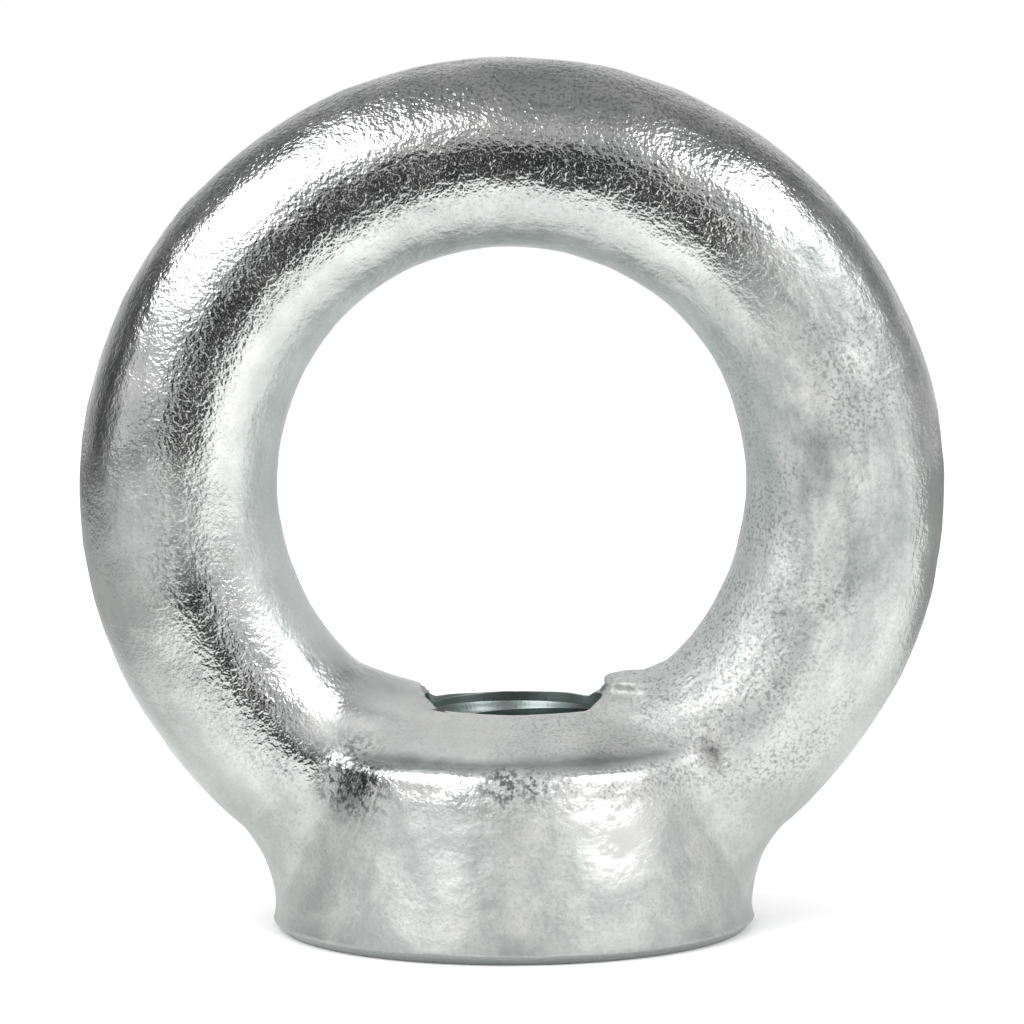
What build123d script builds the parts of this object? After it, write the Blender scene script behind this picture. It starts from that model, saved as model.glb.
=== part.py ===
"""Lifting eye nut: a closed eye drop-forged in one piece with a tapped hub.

The seat lies on z = 0, the thread's axis is Z and the eye faces along Y.
"""

import math
import os

from build123d import *

# ---------------------------------------------------------------- sizes (mm)
ring_d = 36.0  # outside of the eye
ring_lift = 0.2  # its lowest line above the seat
bar_d = 8.4  # round bar that the eye is forged to
eye_d = 19.56  # opening, where the flash inside the eye was punched out
eye_rise = 0.38  # the punch stood this much above the ring's own centre

seat_d = 20.2  # machined face under the hub
seat_chamfer = 0.4
hub_rim_d = 16.6  # corner between the hub's side and its domed top
crown = 2.25  # rise of the dome from its rim to the axis
hub_overlap = 1.05  # top of the dome above the lowest line inside the ring
rim_radius = 0.6
valley_radius = 2.0  # fillet between ring and hub, front and back
shoulder_radius = 4.8  # hollow in the outline between ring and seat
shoulder_sink = 0.05  # the hollow's foot inside the edge of the seat

bed_radius = 15.8  # hollow floor of the eye, over the hub
bed_reach = 6.1  # half its length, where it runs out into the opening
bed_bar_d = 8.2  # its rounding from front to back

drill_d = 6.8  # tapping drill for an M8 thread
entry_d = 8.8  # countersink in the seat
entry_angle = 90.0
mouth_d = 7.7  # opening in the dome, cleared almost to the thread's full width
mouth_depth = 0.3  # how far down it stays that wide, in front
mouth_angle = 60.0  # cone below it, down to the drilled hole

# ------------------------------------------------------------ derived values
ring_r = ring_d / 2
ring_z = ring_r + ring_lift
bar_r = bar_d / 2
bar_line_r = ring_r - bar_r  # centreline of the bar
eye_r = eye_d / 2
eye_z = ring_z + eye_rise
skin = bar_d / 200  # keeps one bar's surface just inside another's
stock = ring_r / 3  # forged below the seat, then faced off
clear = 2 * ring_d  # longer than anything that is cut

# The hub's side leans in from the seat to the rim.
hub_height = ring_lift + bar_d + hub_overlap
hub_rim_height = hub_height - crown
draft = (seat_d - hub_rim_d) / 2 / (hub_rim_height - seat_chamfer)
hub_foot_r = seat_d / 2 + (stock + seat_chamfer) * draft
dome_r = ((hub_rim_d / 2) ** 2 + crown**2) / (2 * crown)
dome_z = hub_height - dome_r
dome_half = math.asin(hub_rim_d / 2 / dome_r) / 2
dome_mid = (dome_r * math.sin(dome_half), dome_z + dome_r * math.cos(dome_half))

# The shoulder's hollow touches the ring and ends upright over the seat.
shoulder_x = seat_d / 2 - shoulder_sink + shoulder_radius
shoulder_drop = math.sqrt((ring_r + shoulder_radius) ** 2 - shoulder_x**2)
shoulder_z = ring_z - shoulder_drop
shoulder_turn = math.degrees(math.atan2(shoulder_drop, shoulder_x))

# The floor's hollow crosses the opening at bed_reach, and its bar goes on
# past that until it is lost inside the ring.
bed_edge_z = eye_z - math.sqrt(eye_r**2 - bed_reach**2)
bed_z = bed_edge_z + math.sqrt(bed_radius**2 - bed_reach**2)
bed_line_r = bed_radius + bed_bar_d / 2
bed_half_turn = math.degrees(math.asin(1.4 * bed_reach / bed_line_r))

entry_slope = math.tan(math.radians(entry_angle / 2))
entry_depth = (entry_d - drill_d) / 2 / entry_slope
mouth_slope = math.tan(math.radians(mouth_angle / 2))
mouth_height = dome_z + math.sqrt(dome_r**2 - (mouth_d / 2) ** 2)
mouth_step = mouth_height - mouth_depth
mouth_start = mouth_step - (mouth_d - drill_d) / 2 / mouth_slope


def eye_axis(x, z):
    """The line through (x, z) that runs straight through the eye."""
    return Axis((x, 0, z), (0, 1, 0))


# -------------------------------------------------------------- one shoulder
# The ring's bar bent the other way: it leaves the ring where the hollow
# touches it, and runs straight down inside the hub.
with BuildPart() as shoulder:
    with BuildSketch(Plane.XY.offset(shoulder_z)) as foot:
        with Locations((shoulder_x - shoulder_radius - bar_r, 0)):
            Circle(bar_r - skin)
    revolve(axis=eye_axis(shoulder_x, shoulder_z), revolution_arc=shoulder_turn)
    extrude(foot.sketch, amount=-shoulder_z - stock / 2)

# -------------------------------------------------------- floor of the eye
# A bar on a wide bend, flatter than the opening that it closes.
with BuildPart() as bed:
    with BuildSketch(Plane.YZ):
        with Locations((0, bed_z - bed_line_r)):
            Circle(bed_bar_d / 2)
    revolve(axis=eye_axis(0, bed_z), revolution_arc=2 * bed_half_turn)
bed_part = bed.part.rotate(eye_axis(0, bed_z), -bed_half_turn)

# ------------------------------------------------------------- the eye nut
with BuildPart() as eye_nut:
    # Hub: a leaning side and a shallow dome, round the thread's axis.
    with BuildSketch(Plane.YZ):
        with BuildLine():
            Polyline(
                (0, -stock),
                (hub_foot_r, -stock),
                (hub_rim_d / 2, hub_rim_height),
            )
            ThreePointArc((hub_rim_d / 2, hub_rim_height), dome_mid, (0, hub_height))
            Line((0, hub_height), (0, -stock))
        make_face()
    revolve(axis=Axis.Z)
    circles = eye_nut.edges().filter_by(GeomType.CIRCLE)
    fillet(circles.sort_by(lambda e: abs(e.center().Z - hub_rim_height))[0], rim_radius)

    # Ring, and the fillet all along its line of meeting with the hub.
    with BuildSketch(Plane.YZ):
        with Locations((0, ring_z + bar_line_r)):
            Circle(bar_r)
    revolve(axis=eye_axis(0, ring_z))
    fillet(eye_nut.edges().filter_by(GeomType.BSPLINE), valley_radius)

    add(shoulder.part)
    add(shoulder.part.mirror(Plane.YZ))

    # Flash punched out of the eye, down to the top of the hub.
    with BuildSketch(Plane.XZ):
        with Locations((0, eye_z)):
            Circle(eye_r)
        with Locations((0, hub_height + seat_chamfer - clear / 2)):
            Rectangle(clear, clear, mode=Mode.SUBTRACT)
    extrude(amount=clear / 2, both=True, mode=Mode.SUBTRACT)
    add(bed_part)

    # Seat faced off, and its edge chamfered.
    with Locations((0, 0, -stock)):
        Box(clear, clear, 2 * stock, mode=Mode.SUBTRACT)
    with BuildSketch(Plane.XZ):
        with BuildLine():
            Polyline(
                (seat_d / 2 - seat_chamfer, 0),
                (seat_d / 2, seat_chamfer),
                (seat_d, seat_chamfer),
                (seat_d, -seat_chamfer),
                (seat_d / 2 - seat_chamfer, -seat_chamfer),
                close=True,
            )
        make_face()
    revolve(axis=Axis.Z, mode=Mode.SUBTRACT)

    # Hole for the thread, countersunk in the seat and opened out in the dome.
    with BuildSketch(Plane.XZ):
        with BuildLine():
            Polyline(
                (0, -entry_depth),
                (entry_d / 2 + entry_depth * entry_slope, -entry_depth),
                (drill_d / 2, entry_depth),
                (drill_d / 2, mouth_start),
                (mouth_d / 2, mouth_step),
                (mouth_d / 2, eye_z),
                (0, eye_z),
                close=True,
            )
        make_face()
    revolve(axis=Axis.Z, mode=Mode.SUBTRACT)

eye_nut.part.label = "eye_nut"
os.makedirs("parts", exist_ok=True)
export_step(eye_nut.part, "parts/eye_nut.step")
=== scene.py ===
# %% [markdown]
# # A lifting eye nut
#
# One piece of drop-forged steel: a round ring, closed at the bottom by a hub with a
# threaded hole through it, and plated with zinc. Two kinds of skin meet on it. The
# forged skin is a little lumpy and finely pitted, and the faces that a tool has cut
# (the seat, its chamfer, the threaded hole) are crisp. This lesson makes them in the
# order that the factory does: forge first, then cut, then plate.

import math

import bpy
import numpy as np
from mathutils import Matrix, Vector


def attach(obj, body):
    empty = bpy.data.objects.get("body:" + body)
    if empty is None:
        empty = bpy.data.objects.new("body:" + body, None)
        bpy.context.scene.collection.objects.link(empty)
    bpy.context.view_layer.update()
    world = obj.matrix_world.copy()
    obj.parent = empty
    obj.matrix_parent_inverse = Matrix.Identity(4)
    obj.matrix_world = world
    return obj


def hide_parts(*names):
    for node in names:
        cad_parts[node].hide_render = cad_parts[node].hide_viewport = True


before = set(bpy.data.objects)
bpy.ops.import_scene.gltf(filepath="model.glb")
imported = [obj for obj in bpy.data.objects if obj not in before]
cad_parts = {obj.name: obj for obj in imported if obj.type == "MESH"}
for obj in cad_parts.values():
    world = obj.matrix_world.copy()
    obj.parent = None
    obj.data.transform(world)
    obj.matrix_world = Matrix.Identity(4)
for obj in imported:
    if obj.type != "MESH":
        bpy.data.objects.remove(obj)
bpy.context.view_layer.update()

# %% [markdown]
# ## Sizes
#
# Everything is in metres. The thread is a metric one, M8 with its usual pitch of
# 1.25 mm. The other sizes belong to the hub, and say where the tools have cut. The
# draft is the slope of the hub's side, as radius lost for each unit of height.

# %% Sizes of the cuts
MM = 0.001
MAJOR_R = 4.0 * MM
DRILL_R = 3.4 * MM
PITCH = 1.25 * MM
SEAT_R = 10.1 * MM
CHAMFER = 0.4 * MM
ENTRY_R = 4.4 * MM
MOUTH_R = 3.85 * MM
MOUTH_Z = 9.19 * MM
DRAFT = 0.27
print("thread depth, mm:", round(1000 * (MAJOR_R - DRILL_R), 2))

# %% [markdown]
# ## The camera
#
# A long lens 200 mm away, a little below the top of the ring and tipped down by five
# degrees. A long lens keeps the ring round.

# %% Camera
CAMERA_BACK = 200.0 * MM
CAMERA_HEIGHT = 35.28 * MM
TIP_DOWN = 5.139
ROLL = -0.321
FOCAL_LENGTH = 169.6
SENSOR_WIDTH = 36.0
NEAREST, FARTHEST = 0.01, 10.0

lens = bpy.data.cameras.new("product_lens")
lens.lens = FOCAL_LENGTH
lens.sensor_width = SENSOR_WIDTH
lens.clip_start = NEAREST
lens.clip_end = FARTHEST
camera = bpy.data.objects.new("product_camera", lens)
bpy.context.scene.collection.objects.link(camera)
camera.rotation_mode = "XYZ"
camera.rotation_euler = (math.radians(90 - TIP_DOWN), 0, 0)
camera.rotation_euler.rotate_axis("Z", math.radians(ROLL))
camera.location = (0, -CAMERA_BACK, CAMERA_HEIGHT)
bpy.context.scene.camera = camera
print("camera at", tuple(round(v, 4) for v in camera.location))

# %% [markdown]
# ## Nodes written as sums
#
# A material is a small piece of arithmetic. Placing dozens of Math nodes by hand
# hides that, so one class wraps a socket and lets Python's own signs make the nodes:
# `1 - mask` adds one Subtract node. Any other node comes from `Maker.node`. A mask
# often goes from one value to another over a stretch of the piece, and `Maker.fade`
# lets it be written in plain lengths.


# %% A socket that can be added and multiplied
class Term:
    """A number that a node puts out, ready to be used in a sum."""

    def __init__(self, maker, socket):
        self.maker = maker
        self.socket = socket

    def _math(self, operation, first, second):
        return self.maker.node("ShaderNodeMath", {"operation": operation}, {0: first, 1: second})

    def __add__(self, other):
        return self._math("ADD", self, other)

    def __radd__(self, other):
        return self._math("ADD", other, self)

    def __sub__(self, other):
        return self._math("SUBTRACT", self, other)

    def __rsub__(self, other):
        return self._math("SUBTRACT", other, self)

    def __mul__(self, other):
        return self._math("MULTIPLY", self, other)

    def __rmul__(self, other):
        return self._math("MULTIPLY", other, self)

    def __truediv__(self, other):
        return self._math("DIVIDE", self, other)

    def __rtruediv__(self, other):
        return self._math("DIVIDE", other, self)

    def __pow__(self, other):
        return self._math("POWER", self, other)


# %% A maker of nodes
class Maker:
    """Adds nodes to one tree: a type, its settings, then its sockets."""

    def __init__(self, tree):
        self.tree = tree

    def node(self, kind, settings=None, sockets=None, out=0):
        made = self.tree.nodes.new(kind)
        for name, value in (settings or {}).items():
            setattr(made, name, value)
        for key, value in (sockets or {}).items():
            if isinstance(value, Term):
                self.tree.links.new(value.socket, made.inputs[key])
            else:
                made.inputs[key].default_value = value
        return Term(self, made.outputs[out])

    def ramp(self, factor, *stops):
        """A smooth rise and fall: each stop is (place, value)."""
        made = self.tree.nodes.new("ShaderNodeValToRGB")
        stops_made = made.color_ramp.elements
        while len(stops_made) < len(stops):
            stops_made.new(0.5)
        for stop, (place, value) in zip(stops_made, stops):
            stop.position = place
            stop.color = (value, value, value, 1)
        self.tree.links.new(factor.socket, made.inputs[0])
        return Term(self, made.outputs[0])

    def fade(self, length, low, high, before, after, span):
        """Goes from before to after between two lengths. Each is from 0 to span."""
        return self.ramp(length / span, (low / span, before), (high / span, after))

    def between(self, factor, first, second):
        """A colour that goes from first to second."""
        settings = {"data_type": "RGBA", "blend_type": "MIX"}
        return self.node("ShaderNodeMix", settings, {0: factor, 6: first, 7: second}, out=2)


print("shader sums are ready")

# %% [markdown]
# ## The forging blank
#
# The solid from the CAD program arrives as loose triangles of very different sizes,
# too coarse for a lumpy skin. A copy is merged, the hole is plugged and a foot is
# added under the seat, as on the real blank before any tool has touched it. The plug
# ends in a low lip, and a lump of forced-out metal lies beside it on one side. A voxel
# remesh then gives one even net of small squares over all of it.


# %% Helpers for meshes
def add_object(name, mesh):
    made = bpy.data.objects.new(name, mesh)
    bpy.context.scene.collection.objects.link(made)
    return made


def turned(name, profile, steps=128):
    """A closed solid of revolution round Z, from (radius, height) corners."""
    angle = np.arange(steps) * 2 * math.pi / steps
    rings = [(r, z) for r, z in profile if r > 0]
    verts = [(r * math.cos(a), r * math.sin(a), z) for r, z in rings for a in angle]
    faces = []
    for ring in range(len(rings) - 1):
        for i in range(steps):
            j = (i + 1) % steps
            low, high = ring * steps, (ring + 1) * steps
            faces.append((low + i, low + j, high + j, high + i))
    faces.append(tuple(reversed(range(steps))))
    last = (len(rings) - 1) * steps
    faces.append(tuple(range(last, last + steps)))
    mesh = bpy.data.meshes.new(name)
    mesh.from_pydata(verts, [], faces)
    mesh.validate()
    return add_object(name, mesh)


def settle(piece):
    """Turns a piece and its modifiers into one plain mesh."""
    graph = bpy.context.evaluated_depsgraph_get()
    mesh = bpy.data.meshes.new_from_object(piece.evaluated_get(graph))
    piece.modifiers.clear()
    old = piece.data
    piece.data = mesh
    bpy.data.meshes.remove(old)
    return piece


def cut(piece, tool, operation="DIFFERENCE"):
    step = piece.modifiers.new(tool.name, "BOOLEAN")
    step.operation = operation
    step.object = tool
    step.solver = "EXACT"
    step.material_mode = "TRANSFER"
    settle(piece)
    bpy.data.objects.remove(tool)


print("mesh helpers are ready")

# %% The blank
NET = 0.205 * MM
WELD_REACH = 0.001 * MM
FOOT = 2.0 * MM
WAIST_Z = 0.2 * MM
COLLAR_Z = 0.6 * MM
COLLAR_WIDE = 0.9 * MM
LIP_WIDE = 0.4 * MM
LIP_Z = (-0.25 * MM, 0.15 * MM)
BURR_SPOT = (5.1 * MM, 0, 10.26 * MM)
BURR_SIZE = (1.5 * MM, 2.2 * MM, 0.44 * MM)
BURR_PROFILE = [(0.02, -1.0), (0.6, -0.8), (1.0, 0.0), (0.8, 0.6), (0.02, 1.0)]

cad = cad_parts["eye_nut"]
blank = add_object("blank", cad.data.copy())
weld = blank.modifiers.new("weld", "WELD")
weld.merge_threshold = WELD_REACH
settle(blank)

plug = turned(
    "plug",
    [
        (SEAT_R + (FOOT + CHAMFER) * DRAFT, -FOOT),
        (SEAT_R, CHAMFER),
        (ENTRY_R, CHAMFER + WAIST_Z),
        (MOUTH_R + COLLAR_WIDE, CHAMFER + COLLAR_Z),
        (MOUTH_R + COLLAR_WIDE, MOUTH_Z + LIP_Z[0]),
        (MOUTH_R + LIP_WIDE, MOUTH_Z + LIP_Z[1]),
    ],
)
burr = turned("burr", BURR_PROFILE, steps=48)
burr.data.transform(Matrix.LocRotScale(BURR_SPOT, None, BURR_SIZE))
for lump in (plug, burr):
    cut(blank, lump, "UNION")

net = blank.modifiers.new("net", "REMESH")
net.mode = "VOXEL"
net.voxel_size = NET
net.use_smooth_shade = True
settle(blank)
print("blank:", len(blank.data.vertices), "vertices")

# %% [markdown]
# ## The finishes
#
# Zinc plating is a thin bright metal skin that follows whatever lies under it. On the
# forged skin that is a field of tiny pits and grains, so its reflections break up into
# specks. On the cut faces it follows the fine rings that the tool has left.
#
# The left side of the ring keeps the bright skin. The right limb, the dome round the
# mouth and the hub have gone dull: white zinc oxide scatters light as well as
# mirroring it, so there the skin is less metallic and rougher. Masks built from the
# place on the piece say where each state of the skin lies, and noises break up their
# edges.


# %% Helpers for metals
def metal(name):
    """A new metal, its maker, its shader and the place on the piece."""
    material = bpy.data.materials.new(name)
    material.use_nodes = True
    tree = material.node_tree
    tree.nodes.clear()
    maker = Maker(tree)
    shader = maker.node("ShaderNodeBsdfPrincipled", None, {"Metallic": 1.0})
    out = tree.nodes.new("ShaderNodeOutputMaterial")
    tree.links.new(shader.socket, out.inputs["Surface"])
    place = maker.node("ShaderNodeTexCoord", None, None, out=3)
    return material, maker, shader.socket.node, place


def noise(maker, place, size, detail=2.0, rough=0.5, seed=0.0):
    """Soft cloudy noise whose grains are about size across."""
    settings = {"noise_dimensions": "4D"}
    sockets = {"Vector": place, "W": seed, "Scale": 1 / size, "Detail": detail, "Roughness": rough}
    return maker.node("ShaderNodeTexNoise", settings, sockets)


def most(first, second):
    """Two masks together."""
    return first.maker.node("ShaderNodeMath", {"operation": "MAXIMUM"}, {0: first, 1: second})


def apart(first, second):
    """How far two lengths differ."""
    gap = first - second
    return first.maker.node("ShaderNodeMath", {"operation": "ABSOLUTE"}, {0: gap})


print("metal helpers are ready")

# %% [markdown]
# ### Places on the forged skin
#
# All the lengths in this material are in millimetres. `reach` is the distance from
# the ring's axis, and `turn` the angle round it. `flow` is a place measured along the
# bar, outwards, and from front to back. It is shortened along the bar, so that a noise
# on it is drawn out that way, as the steel's own grain is.

# %% Places on the forged skin
RING_AXIS_Z = 18.2
BAR_LINE_R = 13
STRETCH = 0.4

forged_zinc, mk, skin, place = metal("forged_zinc")
x = mk.node("ShaderNodeSeparateXYZ", None, {0: place}, out=0) / MM
y = mk.node("ShaderNodeSeparateXYZ", None, {0: place}, out=1) / MM
z = mk.node("ShaderNodeSeparateXYZ", None, {0: place}, out=2) / MM
reach = (x**2 + (z - RING_AXIS_Z) ** 2) ** 0.5
turn = mk.node("ShaderNodeMath", {"operation": "ARCTAN2"}, {0: x, 1: z - RING_AXIS_Z})
flow = mk.node("ShaderNodeCombineXYZ", None, {0: turn * BAR_LINE_R * STRETCH, 1: reach, 2: y})


def rises(length, low, high, span=20):
    """A mask that is 0 below one length and 1 above another, in mm."""
    return mk.fade(length, low, high, 0.0, 1.0, span)


def falls(length, low, high, span=20):
    """A mask that is 1 below one length and 0 above another, in mm."""
    return mk.fade(length, low, high, 1.0, 0.0, span)


def spot(across, up, core, edge):
    """A soft round mask about a place on the front and back, all in mm."""
    return falls(((x - across) ** 2 + (z - up) ** 2) ** 0.5, core, edge, span=10)


print("places are ready")

# %% [markdown]
# ### Noises of the forged skin
#
# Each noise is one kind of mark: patches and clouds in the plating, streaks along
# the bar, chips and specks where the plating is thin, and the grain and ripple of
# the skin under it. A ramp sets how sharply a mark stands out.

# %% Noises of the forged skin
PATCH = 4.5 * MM
CLOUD = 1.8 * MM
STREAK = 1.5
CHIP = 0.23 * MM
SPECK = 0.15 * MM
GRAIN = 0.18 * MM
RIPPLE = 1.2 * MM

patch = mk.ramp(noise(mk, place, PATCH, detail=3.0, seed=3.0), (0.38, 0.0), (0.62, 1.0))
cloud = noise(mk, place, CLOUD, detail=4.0, rough=0.65, seed=4.0)
cloud = mk.ramp(cloud, (0.35, 0.0), (0.65, 1.0))
streak = noise(mk, flow, STREAK, detail=4.0, rough=0.6, seed=7.0)
streak = mk.ramp(streak, (0.38, 0.0), (0.62, 1.0))
chip = noise(mk, place, CHIP, detail=3.0, rough=0.6, seed=8.0)
chip = mk.ramp(chip, (0.43, 1.0), (0.54, 0.0))
speck = noise(mk, place, SPECK, detail=2.0, rough=0.6, seed=6.0)
speck = mk.ramp(speck, (0.36, 1.0), (0.52, 0.0))
grain = noise(mk, place, GRAIN, detail=1.2, rough=0.5, seed=1.0)
ripple = noise(mk, place, RIPPLE, detail=2.0, rough=0.5, seed=2.0)
print("seven noises")

# %% [markdown]
# ### Parts of the forged skin
#
# Each mask is one part of the piece, marked off by lengths. The plating has its own look
# on the hub, the dome round the mouth and its crown, the inner side of the ring, the dull
# side (a slanting half of the ring), the crest of the bar and its top. The lower outer
# edge and the foot of the hub get painted shade. Some borders wander with the patches.

# %% Parts of the forged skin
CREST_R = 13.8
SLANT = (0.85, 0.5)
SLANT_FROM_Z = 26

on_hub = falls(z + patch * 0.5, 5.6, 7.0, span=10)
on_crown = falls(reach, 12.0, 13.6) * falls(z, 8.8, 9.8)
on_dome = falls(reach, 10.0, 11.2) * falls(z, 9.6, 11.2)
on_dome = most(on_dome, on_crown * rises(z, 7.5, 7.84))
inner = falls(reach, 10.0, 12.0) * rises(z, 10.0, 12.4)
along_slant = x * SLANT[0] - (z - SLANT_FROM_Z) * SLANT[1]
dull_side = rises(along_slant + patch * 1.6, 6.8, 12.0)
dull_side = dull_side * mk.fade(reach + patch * 0.4, 16.0, 17.4, 1.0, 0.15, span=20)
crest = falls(apart(reach, CREST_R), 1.0, 2.4, span=4) * (1 - dull_side) * (1 - on_hub)
top = rises(reach, 14.2, 16.4) * rises(z, 26.4, 32.0, span=40)
# Painted shade: the lower outer edges of the ring at both sides are painted darker.
edge = rises(reach, 15.8, 18.0) * falls(z, 19.0, 20.0) * rises(apart(x, 0), 7.6, 10.4)
# Painted shade: darker at the bottom of the hub, next to the table.
foot = falls(z + speck * 0.3, 0.3, 1.4, span=10)
print("nine parts")

# %% [markdown]
# ### Marks of this one piece
#
# Handling has left a few marks: a scuff on the left limb, and smoother places on the
# hub and its rim with dark flecks beside them. Those smoother places also carry painted
# highlights, and a thin grey line under the rim is a painted dark reflection.

# %% Marks of this one piece
RIM_REFLECTION_Z = 7.75

scuff = spot(-14.6, 17.2, 1.2, 3.4)
# Smoother, less dull places on the hub and its rim; their colour is a painted highlight.
polish_and_highlight = most(spot(3.8, 6.6, 1.1, 2.4), spot(4.2, 4.4, 0.4, 1.9))
polish_and_highlight = most(polish_and_highlight, spot(8.1, 7.5, 0.3, 1.0))
polish_and_highlight = most(polish_and_highlight, most(spot(-4.2, 7.1, 0.4, 1.0), spot(-3.1, 7.05, 0.4, 1.0)))
flecked = most(spot(-0.4, 7.0, 0.4, 1.4), spot(0.9, 7.1, 0.3, 1.3))
flecked = most(spot(-6.6, 6.9, 0.9, 2.1), flecked)
flecked = most(flecked, spot(7.4, 9.0, 0.4, 2.0) * 0.4)
# Painted dark reflection: a thin grey line under the rim, where the dome would mirror the dim room
# above.
painted_rim_reflection = falls(apart(z, RIM_REFLECTION_Z) + cloud * 0.16, 0.10, 0.38, span=2)
painted_rim_reflection = painted_rim_reflection * falls(apart(x, 0), 6.0, 7.5, span=10)
print("marks are placed")

# %% [markdown]
# ### Relief and dullness
#
# `smooth` says where the grain is worn away, and `matte` where white oxide has made
# the plating dull. The weights say how much of each state a part shows.

# %% Relief and dullness
RELIEF_HEIGHT = 0.06 * MM
GRAIN_LEVEL = 0.40
OXIDE_LEVEL = 0.55
BRIGHT_ROUGHNESS = 0.14
OXIDE_ROUGHNESS = 0.27

smooth = most(most(on_hub * 0.4, polish_and_highlight * 0.8), most(on_dome * 0.5, inner * 0.5))
matte = most(most(on_hub * 0.8, on_dome), most(dull_side * 0.9, inner * 0.9))
matte = most(matte, scuff * 0.5) * (1 - polish_and_highlight * 0.75)
pitting = patch * 0.2 + most(crest, top) * 0.30 + GRAIN_LEVEL
relief = grain * pitting * (1 - smooth) + ripple * (dull_side + 0.6)
relief = relief + streak * (dull_side * 0.5 + 0.3) * (1 - smooth)
bump = mk.node(
    "ShaderNodeBump", None, {"Strength": 1.0, "Distance": RELIEF_HEIGHT, "Height": relief}
)
print("relief is ready")

# %% [markdown]
# ### Colours
#
# The bright skin comes first, and each part is laid over it in turn: the dull side,
# with painted light low down, the hub, the painted highlights, the dome round the mouth,
# the inner side of the ring, also with painted light low down, and the painted shade of
# the lower outer edge. The dark specks come last, all in one tone, with the painted
# shade at the foot and the painted dark reflection under the rim.

# %% Colours
BRIGHT_SKIN = (0.55, 0.57, 0.565, 1), (0.88, 0.88, 0.87, 1)
DULL_SKIN = (0.27, 0.30, 0.295, 1), (0.76, 0.76, 0.75, 1)
DULL_PAINTED_LIGHT = (0.80, 0.80, 0.79, 1)
HUB_SKIN = (0.46, 0.48, 0.47, 1), (0.66, 0.66, 0.65, 1)
PAINTED_HIGHLIGHT = (0.90, 0.90, 0.89, 1)
DOME_SKIN = (0.52, 0.535, 0.53, 1), (0.61, 0.61, 0.60, 1)
INNER_SKIN = (0.40, 0.46, 0.445, 1), (0.50, 0.54, 0.53, 1)
INNER_PAINTED_LIGHT = (0.68, 0.71, 0.70, 1)
EDGE_SHADE_TONE = (0.42, 0.44, 0.43, 1)
DARK_TONE = (0.13, 0.145, 0.145, 1)

tint = mk.between(streak * 0.5 + cloud * 0.5, *BRIGHT_SKIN)
limb = mk.between(streak * 0.6 + cloud * 0.4, *DULL_SKIN)
# Painted light: the dull side is painted lighter low down, below 16 mm.
limb = mk.between(mk.fade(z, 9.0, 16.0, 0.5, 0.0, span=20), limb, DULL_PAINTED_LIGHT)
tint = mk.between(dull_side * 0.9, tint, limb)
hub = mk.between(cloud - speck * 0.5, *HUB_SKIN)
tint = mk.between(on_hub * (1 - polish_and_highlight), tint, hub)
# Painted highlight: near-white colour on those smoother places.
tint = mk.between(polish_and_highlight, tint, PAINTED_HIGHLIGHT)
tint = mk.between(on_dome, tint, mk.between(cloud, *DOME_SKIN))
inner_tint = mk.between(cloud, *INNER_SKIN)
# Painted light: the inner side is painted lighter low down, where it faces up towards the lamps.
inner_tint = mk.between(mk.fade(z, 16.0, 24.8, 0.9, 0.0, span=40), inner_tint, INNER_PAINTED_LIGHT)
tint = mk.between(inner * 0.9, tint, inner_tint)
# Painted shade on the lower outer edges.
tint = mk.between(edge * 0.55, tint, EDGE_SHADE_TONE)
dots = speck * mk.ramp(patch, (0.30, 1.0), (0.80, 0.35))
dots = dots * (most(dull_side * 0.5, crest * 0.4) + 0.10) * (1 - on_hub)
dots = most(most(dots, chip * flecked * 0.95), most(on_crown * 0.15, top * 0.55) * speck)
# The dark specks, together with the painted dark reflection under the rim and the painted shade at
# the foot.
dark = most(dots, most(painted_rim_reflection * 0.6, foot * 0.3))
tint = mk.between(dark, tint, DARK_TONE)
print("colours are laid")

# %% The forged skin's shader
metallic = 1 - matte * OXIDE_LEVEL
roughness = cloud * 0.06 + matte * OXIDE_ROUGHNESS + BRIGHT_ROUGHNESS
mk.tree.links.new(tint.socket, skin.inputs["Base Color"])
mk.tree.links.new(metallic.socket, skin.inputs["Metallic"])
mk.tree.links.new(roughness.socket, skin.inputs["Roughness"])
mk.tree.links.new(bump.socket, skin.inputs["Normal"])
print("forged_zinc:", len(mk.tree.nodes), "nodes")

# %% [markdown]
# ### The cut faces
#
# A cutting tool leaves fine rings round the hole's axis. Inside the hole the tone is
# darker: the plating is thinner there, and painted shade stands for the little light
# that gets in.

# %% Zinc over the cut faces
RING_STEP = 0.16 * MM
FROST = 0.25 * MM
CUT_HEIGHT = 0.006 * MM
CUT_ROUGHNESS = 0.22
CUT_TONE = (0.46, 0.475, 0.47, 1)
HOLE_SHADE_TONE = (0.36, 0.42, 0.405, 1)

cut_zinc, mk, skin, place = metal("cut_zinc")
x = mk.node("ShaderNodeSeparateXYZ", None, {0: place}, out=0)
y = mk.node("ShaderNodeSeparateXYZ", None, {0: place}, out=1)
reach = (x**2 + y**2) ** 0.5
rings = mk.node("ShaderNodeMath", {"operation": "SINE"}, {0: reach * (2 * math.pi / RING_STEP)})
frost = noise(mk, place, FROST, detail=2.0, seed=5.0)
bump = mk.node("ShaderNodeBump", None, {"Distance": CUT_HEIGHT, "Height": rings * 0.35 + frost})
in_hole = mk.fade(reach, 4.2 * MM, 4.6 * MM, 1.0, 0.0, span=10 * MM)
# Painted shade inside the hole, with the thinner plating's darker tone.
tint = mk.between(in_hole, CUT_TONE, HOLE_SHADE_TONE)
mk.tree.links.new(tint.socket, skin.inputs["Base Color"])
mk.tree.links.new((frost * 0.15 + CUT_ROUGHNESS).socket, skin.inputs["Roughness"])
mk.tree.links.new(bump.socket, skin.inputs["Normal"])
print("cut_zinc:", len(mk.tree.nodes), "nodes")

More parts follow.
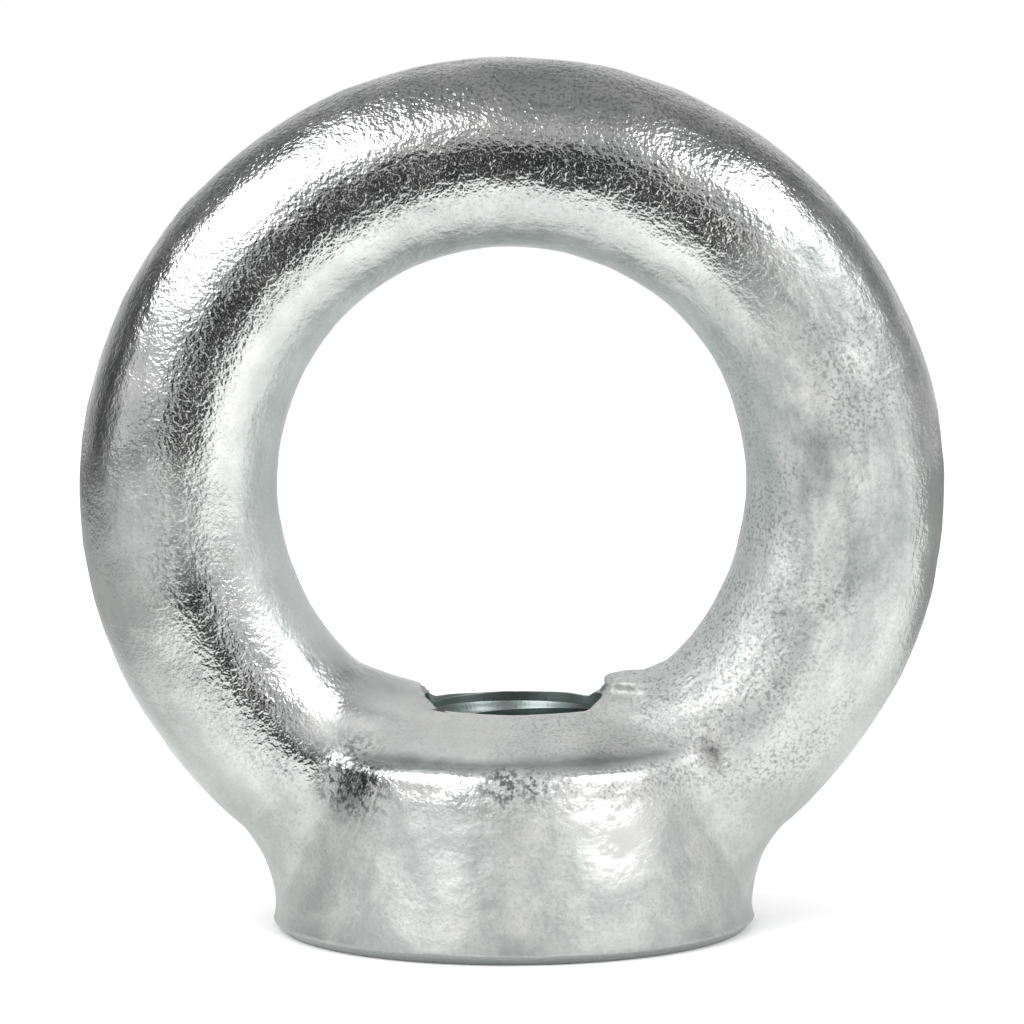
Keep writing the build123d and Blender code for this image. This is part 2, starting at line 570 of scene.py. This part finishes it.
# %% [markdown]
# ## The forged skin
#
# A forging takes the small faults of its die: long shallow swellings, hammered flats
# the size of a lentil, and a trimmed seam round the outside where the two dies met.
# These follow rules, so Geometry Nodes make them: noise of three sizes pushes each
# point along its normal. The noises go both ways, and a small steady push inwards,
# which eases at the seam, keeps the piece inside its true size.


# %% Helpers for Geometry Nodes
def new_tree(name, inputs):
    """A Geometry Nodes tree with a mesh going in and out, and named numbers."""
    tree = bpy.data.node_groups.new(name, "GeometryNodeTree")
    face = tree.interface
    face.new_socket("Geometry", in_out="OUTPUT", socket_type="NodeSocketGeometry")
    face.new_socket("Geometry", in_out="INPUT", socket_type="NodeSocketGeometry")
    for label, value in inputs.items():
        kind = "NodeSocketInt" if isinstance(value, int) else "NodeSocketFloat"
        face.new_socket(label, in_out="INPUT", socket_type=kind).default_value = value
    maker = Maker(tree)
    entry = tree.nodes.new("NodeGroupInput")
    terms = {s.name: Term(maker, s) for s in entry.outputs if s.name}
    return tree, maker, terms


def close_tree(tree, maker, geometry, material):
    """Realize Instances, Set Material, and out."""
    whole = maker.node("GeometryNodeRealizeInstances", None, {0: geometry})
    clad = maker.node("GeometryNodeSetMaterial", None, {0: whole, "Material": material})
    leave = tree.nodes.new("NodeGroupOutput")
    tree.links.new(clad.socket, leave.inputs[0])


def grow(piece, tree, values):
    """Runs a tree on a piece, with its inputs set by their identifiers."""
    step = piece.modifiers.new(tree.name, "NODES")
    step.node_group = tree
    for item in tree.interface.items_tree:
        if item.in_out == "INPUT" and item.name in values:
            step[item.identifier] = values[item.name]
    return settle(piece)


print("geometry helpers are ready")

# %% The tree that makes the skin lumpy
tree, gm, given = new_tree(
    "forged_skin",
    {
        "Swelling size": 6.0 * MM,
        "Swelling height": 0.25 * MM,
        "Flat size": 1.6 * MM,
        "Flat height": 0.10 * MM,
        "Pock size": 0.7 * MM,
        "Pock depth": 0.02 * MM,
        "Seam width": 1.4 * MM,
        "Seam height": 0.05 * MM,
        "Seed": 3.0,
    },
)
here = gm.node("GeometryNodeInputPosition")
away = gm.node("GeometryNodeInputNormal")


def lumps(size, detail, draw):
    """Noise from -0.5 to 0.5; draw gives each use its own noise."""
    sockets = {"Vector": here, "W": given["Seed"] + draw, "Scale": 1 / size, "Detail": detail}
    return gm.node("ShaderNodeTexNoise", {"noise_dimensions": "4D"}, sockets) - 0.5


swelling = lumps(given["Swelling size"], 1.0, 0.0) * given["Swelling height"]
flats = lumps(given["Flat size"], 2.0, 1.0) * given["Flat height"]
pocks = lumps(given["Pock size"], 1.0, 2.0) * given["Pock depth"]
depth = gm.node("ShaderNodeSeparateXYZ", None, {0: here}, out=1)
wander = lumps(given["Swelling size"], 1.0, 5.0) * given["Seam width"] * 0.5
off_seam = gm.node("ShaderNodeMath", {"operation": "ABSOLUTE"}, {0: depth + wander})
seam = gm.node(
    "ShaderNodeMapRange",
    {"interpolation_type": "SMOOTHSTEP"},
    {0: off_seam, 1: given["Seam width"] * 0.3, 2: given["Seam width"] * 0.7, 3: -0.5, 4: -1.0},
)
push = swelling + flats + pocks + seam * given["Seam height"]
offset = gm.node("ShaderNodeVectorMath", {"operation": "SCALE"}, {0: away, "Scale": push})
moved = gm.node("GeometryNodeSetPosition", None, {0: given["Geometry"], "Offset": offset})
close_tree(tree, gm, moved, forged_zinc)

blank.data.materials.clear()
blank.data.materials.append(forged_zinc)
grow(blank, tree, {"Swelling height": 0.25 * MM, "Seed": 3.0})
print("skin:", [round(1000 * v, 2) for v in blank.dimensions])

# %% [markdown]
# ## The tools
#
# Each cut is a closed solid, taken away from the blank in the factory's order: the
# seat is faced and chamfered, the hole is drilled and countersunk from both ends,
# and a tap cuts the thread. The tap is a trapezoid swept along a helix. A thread
# follows a rule, so Geometry Nodes make it too, with the thread's own sizes as inputs.

# %% The tap
tree, gm, given = new_tree(
    "tap",
    {
        "Pitch": PITCH,
        "Major radius": MAJOR_R,
        "Root radius": DRILL_R - 0.1 * MM,
        "Start": -1.5 * MM,
        "Length": 13.0 * MM,
        "Steps": 101,
    },
)
FLANK = math.tan(math.radians(30))
tooth_depth = given["Major radius"] - given["Root radius"]
tooth_tip = given["Pitch"] / 8
tooth_root = tooth_tip + tooth_depth * (2 * FLANK)
middle = given["Root radius"] + tooth_depth / 2
helix = gm.node(
    "GeometryNodeCurveSpiral",
    None,
    {
        "Resolution": given["Steps"],
        "Rotations": given["Length"] / given["Pitch"],
        "Start Radius": middle,
        "End Radius": middle,
        "Height": given["Length"],
    },
)
upright = gm.node("GeometryNodeSetCurveNormal", {"mode": "Z_UP"}, {0: helix})
tooth = gm.node(
    "GeometryNodeCurvePrimitiveQuadrilateral",
    {"mode": "TRAPEZOID"},
    {"Height": tooth_depth, "Bottom Width": tooth_root, "Top Width": tooth_tip, "Offset": 0.0},
)
swept = gm.node(
    "GeometryNodeCurveToMesh", None, {"Curve": upright, "Profile Curve": tooth, "Fill Caps": True}
)
lift = gm.node("ShaderNodeCombineXYZ", None, {2: given["Start"]})
raised = gm.node("GeometryNodeSetPosition", None, {0: swept, "Offset": lift})
close_tree(tree, gm, raised, cut_zinc)
tap = add_object("tap", bpy.data.meshes.new("tap"))
grow(tap, tree, {"Pitch": PITCH})
print("tap:", len(tap.data.vertices), [round(1000 * v, 2) for v in tap.dimensions])

# %% Cutting
MOUTH_START = 8.11 * MM
MOUTH_STEP = 8.89 * MM
FACER_R = 16 * MM
FACER_DEEP = 3 * MM
PAST_ENTRY = 1.0 * MM
PAST_MOUTH = 9.0 * MM

facing = turned(
    "facing",
    [
        (FACER_R, -FACER_DEEP),
        (FACER_R, CHAMFER),
        (SEAT_R, CHAMFER),
        (SEAT_R - CHAMFER, 0),
    ],
)
drill = turned(
    "drill",
    [
        (ENTRY_R + PAST_ENTRY, -PAST_ENTRY),
        (DRILL_R, ENTRY_R - DRILL_R),
        (DRILL_R, MOUTH_START),
        (MOUTH_R, MOUTH_STEP),
        (MOUTH_R, MOUTH_STEP + PAST_MOUTH),
    ],
)
for tool in (facing, drill):
    tool.data.materials.append(cut_zinc)
cut(blank, facing)
cut(blank, drill)
cut(blank, tap)
print("cut:", len(blank.data.polygons), "faces,", len(blank.data.materials), "materials")

# %% [markdown]
# ## One finished piece
#
# The piece takes the CAD solid's place: it rides on the root body and hides the plain
# solid.

# %% Hand the piece over
eye = blank
eye.name = "forged_eye_nut"
eye.data.name = "forged_eye_nut"
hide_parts("eye_nut")
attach(eye, "root")
triangles = sum(len(p.vertices) - 2 for p in eye.data.polygons)
print("piece:", triangles, "triangles")

# %% [markdown]
# ## The studio
#
# A metal piece shows its surroundings, so they are the larger half of its look. It
# stands on a white table with two large soft boxes in front of it, one to the left
# and one to the right. The dark gap between them, where the camera stands, draws the
# dark line along the middle of the ring.


# %% Soft boxes
RING_MIDDLE = Vector((0, 0, 18 * MM))
BOX_AWAY = 0.40


def soft_box(name, side, height, width, tall, level, lean):
    """An area light of radiance level, placed by two angles round the ring's middle."""
    a, e = math.radians(side), math.radians(height)
    back = Vector((math.sin(a) * math.cos(e), -math.cos(a) * math.cos(e), math.sin(e)))
    light = bpy.data.lights.new(name, "AREA")
    light.shape = "RECTANGLE"
    light.size = width
    light.size_y = tall
    light.energy = level * math.pi * width * tall
    made = bpy.data.objects.new(name, light)
    made.location = RING_MIDDLE + back * BOX_AWAY
    made.rotation_euler = (-back).to_track_quat("-Z", "Y").to_euler()
    made.rotation_euler.rotate_axis("Z", math.radians(lean))
    bpy.context.scene.collection.objects.link(made)
    return made


soft_box("left_box", side=-57, height=43, width=0.43, tall=0.29, level=2.2, lean=-14)
soft_box("right_box", side=60, height=36, width=0.35, tall=0.21, level=2.1, lean=6)
print("two soft boxes")

# %% [markdown]
# ### The room
#
# The room is white to the camera and to the soft light that it gives. Only its
# mirror image in the metal is shaded, by direction: dark behind the lens, dim high
# up and to the sides. Light Path tells a mirrored ray from the others. Each direction
# is a sum of the ray's own parts, which is 1 where the ray points that way.

# %% Room
ROOM_LEVEL = 0.70
HIGH_LOSS = 0.38
BEHIND_GAIN = 0.28

room = bpy.data.worlds.new("studio")
room.use_nodes = True
bpy.context.scene.world = room
room.node_tree.nodes.clear()
wm = Maker(room.node_tree)
toward = wm.node("ShaderNodeTexCoord")
side = wm.node("ShaderNodeSeparateXYZ", None, {0: toward}, out=0)
ahead = wm.node("ShaderNodeSeparateXYZ", None, {0: toward}, out=1)
above = wm.node("ShaderNodeSeparateXYZ", None, {0: toward}, out=2)
aside = apart(side, 0)
facing_lens = ahead * -0.998 - above * 0.02 - side * 0.04


def dimmed(direction, start, full, loss):
    """1 outside one part of the room, and less by loss well inside it."""
    return 1 - wm.ramp(direction, (start, 0.0), (full, 1.0)) * loss


high = wm.ramp(above, (0.12, 0.0), (0.85, 1.0))
behind = wm.ramp(ahead, (0.50, 0.0), (0.95, 1.0))
left_wall = side * -0.94 + ahead * 0.32 + above * 0.08
shoulders = aside * 0.75 + ahead * 0.30 + above * 0.58
rear_left = side * -0.8 + ahead * 0.6
rear_right = side * 0.8 + ahead * 0.6
shown = ROOM_LEVEL - high * HIGH_LOSS + behind * (1 - high) * BEHIND_GAIN
shown = shown * dimmed(facing_lens, 0.92, 0.97, 0.96)
shown = shown * dimmed(facing_lens, 0.70, 0.92, 0.18)
shown = shown * dimmed(left_wall, 0.86, 0.985, 0.75)
shown = shown * dimmed(shoulders, 0.84, 0.97, 0.50)
shown = shown * dimmed(rear_left, 0.72, 0.93, 0.50)
shown = shown * dimmed(rear_right, 0.72, 0.93, 0.42)
to_camera = wm.node("ShaderNodeLightPath")
mirrored = wm.node("ShaderNodeLightPath", None, None, out=3)
level = to_camera + (1 - to_camera) * (mirrored * shown + (1 - mirrored))
shine = wm.node("ShaderNodeBackground", None, {"Color": (1, 1, 1, 1), "Strength": level})
out = room.node_tree.nodes.new("ShaderNodeOutputWorld")
room.node_tree.links.new(shine.socket, out.inputs["Surface"])
print("room:", len(room.node_tree.nodes), "nodes")

# %% [markdown]
# ### The table
#
# The table is white to the camera and keeps the piece's shadow. To every other ray it is
# a pale grey with painted shade that gets darker away to the sides, and a black wedge of
# painted shadow where the camera's stand would be, so that the outer limbs mirror
# something dark.

# %% Table
TABLE_R = 0.6
TABLE_THICK = 0.02
TABLE_GAP = 0.02 * MM
SPAN = 200 * MM
NEAR_TONE = (0.84, 0.85, 0.84, 1)
SIDE_SHADE_TONE = (0.28, 0.285, 0.28, 1)
FAR_LEFT_SHADE_TONE = (0.14, 0.14, 0.14, 1)
CAMERA_SHADOW_TONE = (0.03, 0.03, 0.03, 1)
CAMERA_SHADOW_X = -4 * MM
CAMERA_SHADOW_BACK = 30 * MM

table = turned("table", [(TABLE_R, -TABLE_THICK), (TABLE_R, -TABLE_GAP)], steps=96)
white = bpy.data.materials.new("white_table")
white.use_nodes = True
white.node_tree.nodes.clear()
tm = Maker(white.node_tree)
to_camera = tm.node("ShaderNodeLightPath")
here = tm.node("ShaderNodeTexCoord", None, None, out=3)
front = tm.node("ShaderNodeSeparateXYZ", None, {0: here}, out=1) * -1.0
right = tm.node("ShaderNodeSeparateXYZ", None, {0: here}, out=0)
# Painted shadow for mirrored rays: a black wedge on the table where the camera's stand would be.
spread = apart((right - CAMERA_SHADOW_X) / (front + CAMERA_SHADOW_BACK), 0)
camera_shadow = tm.fade(front, 44 * MM, 72 * MM, 0.0, 1.0, SPAN)
camera_shadow = camera_shadow * tm.ramp(spread, (0.14, 1.0), (0.34, 0.0))
on_left = tm.fade(right * -1.0, 14 * MM, 44 * MM, 0.0, 1.0, SPAN)
on_right = tm.fade(right, 14 * MM, 44 * MM, 0.0, 1.0, SPAN)
on_right = on_right * tm.fade(front * -1.0, 2 * MM, 30 * MM, 0.0, 1.0, SPAN)
far_left = tm.fade(right * -1.0, 90 * MM, 180 * MM, 0.0, 1.0, SPAN)
# Painted shade for mirrored rays: darker away to the sides, darkest far to the left.
grey = tm.between(on_left * 0.85 + on_right, NEAR_TONE, SIDE_SHADE_TONE)
grey = tm.between(far_left, grey, FAR_LEFT_SHADE_TONE)
grey = tm.between(camera_shadow, grey, CAMERA_SHADOW_TONE)
paint = tm.between(to_camera, grey, (1.0, 1.0, 1.0, 1))
matt = tm.node("ShaderNodeBsdfDiffuse", None, {"Color": paint})
out = white.node_tree.nodes.new("ShaderNodeOutputMaterial")
white.node_tree.links.new(matt.socket, out.inputs["Surface"])
table.data.materials.append(white)
bpy.context.scene.view_settings.view_transform = "Standard"
print("table is ready")
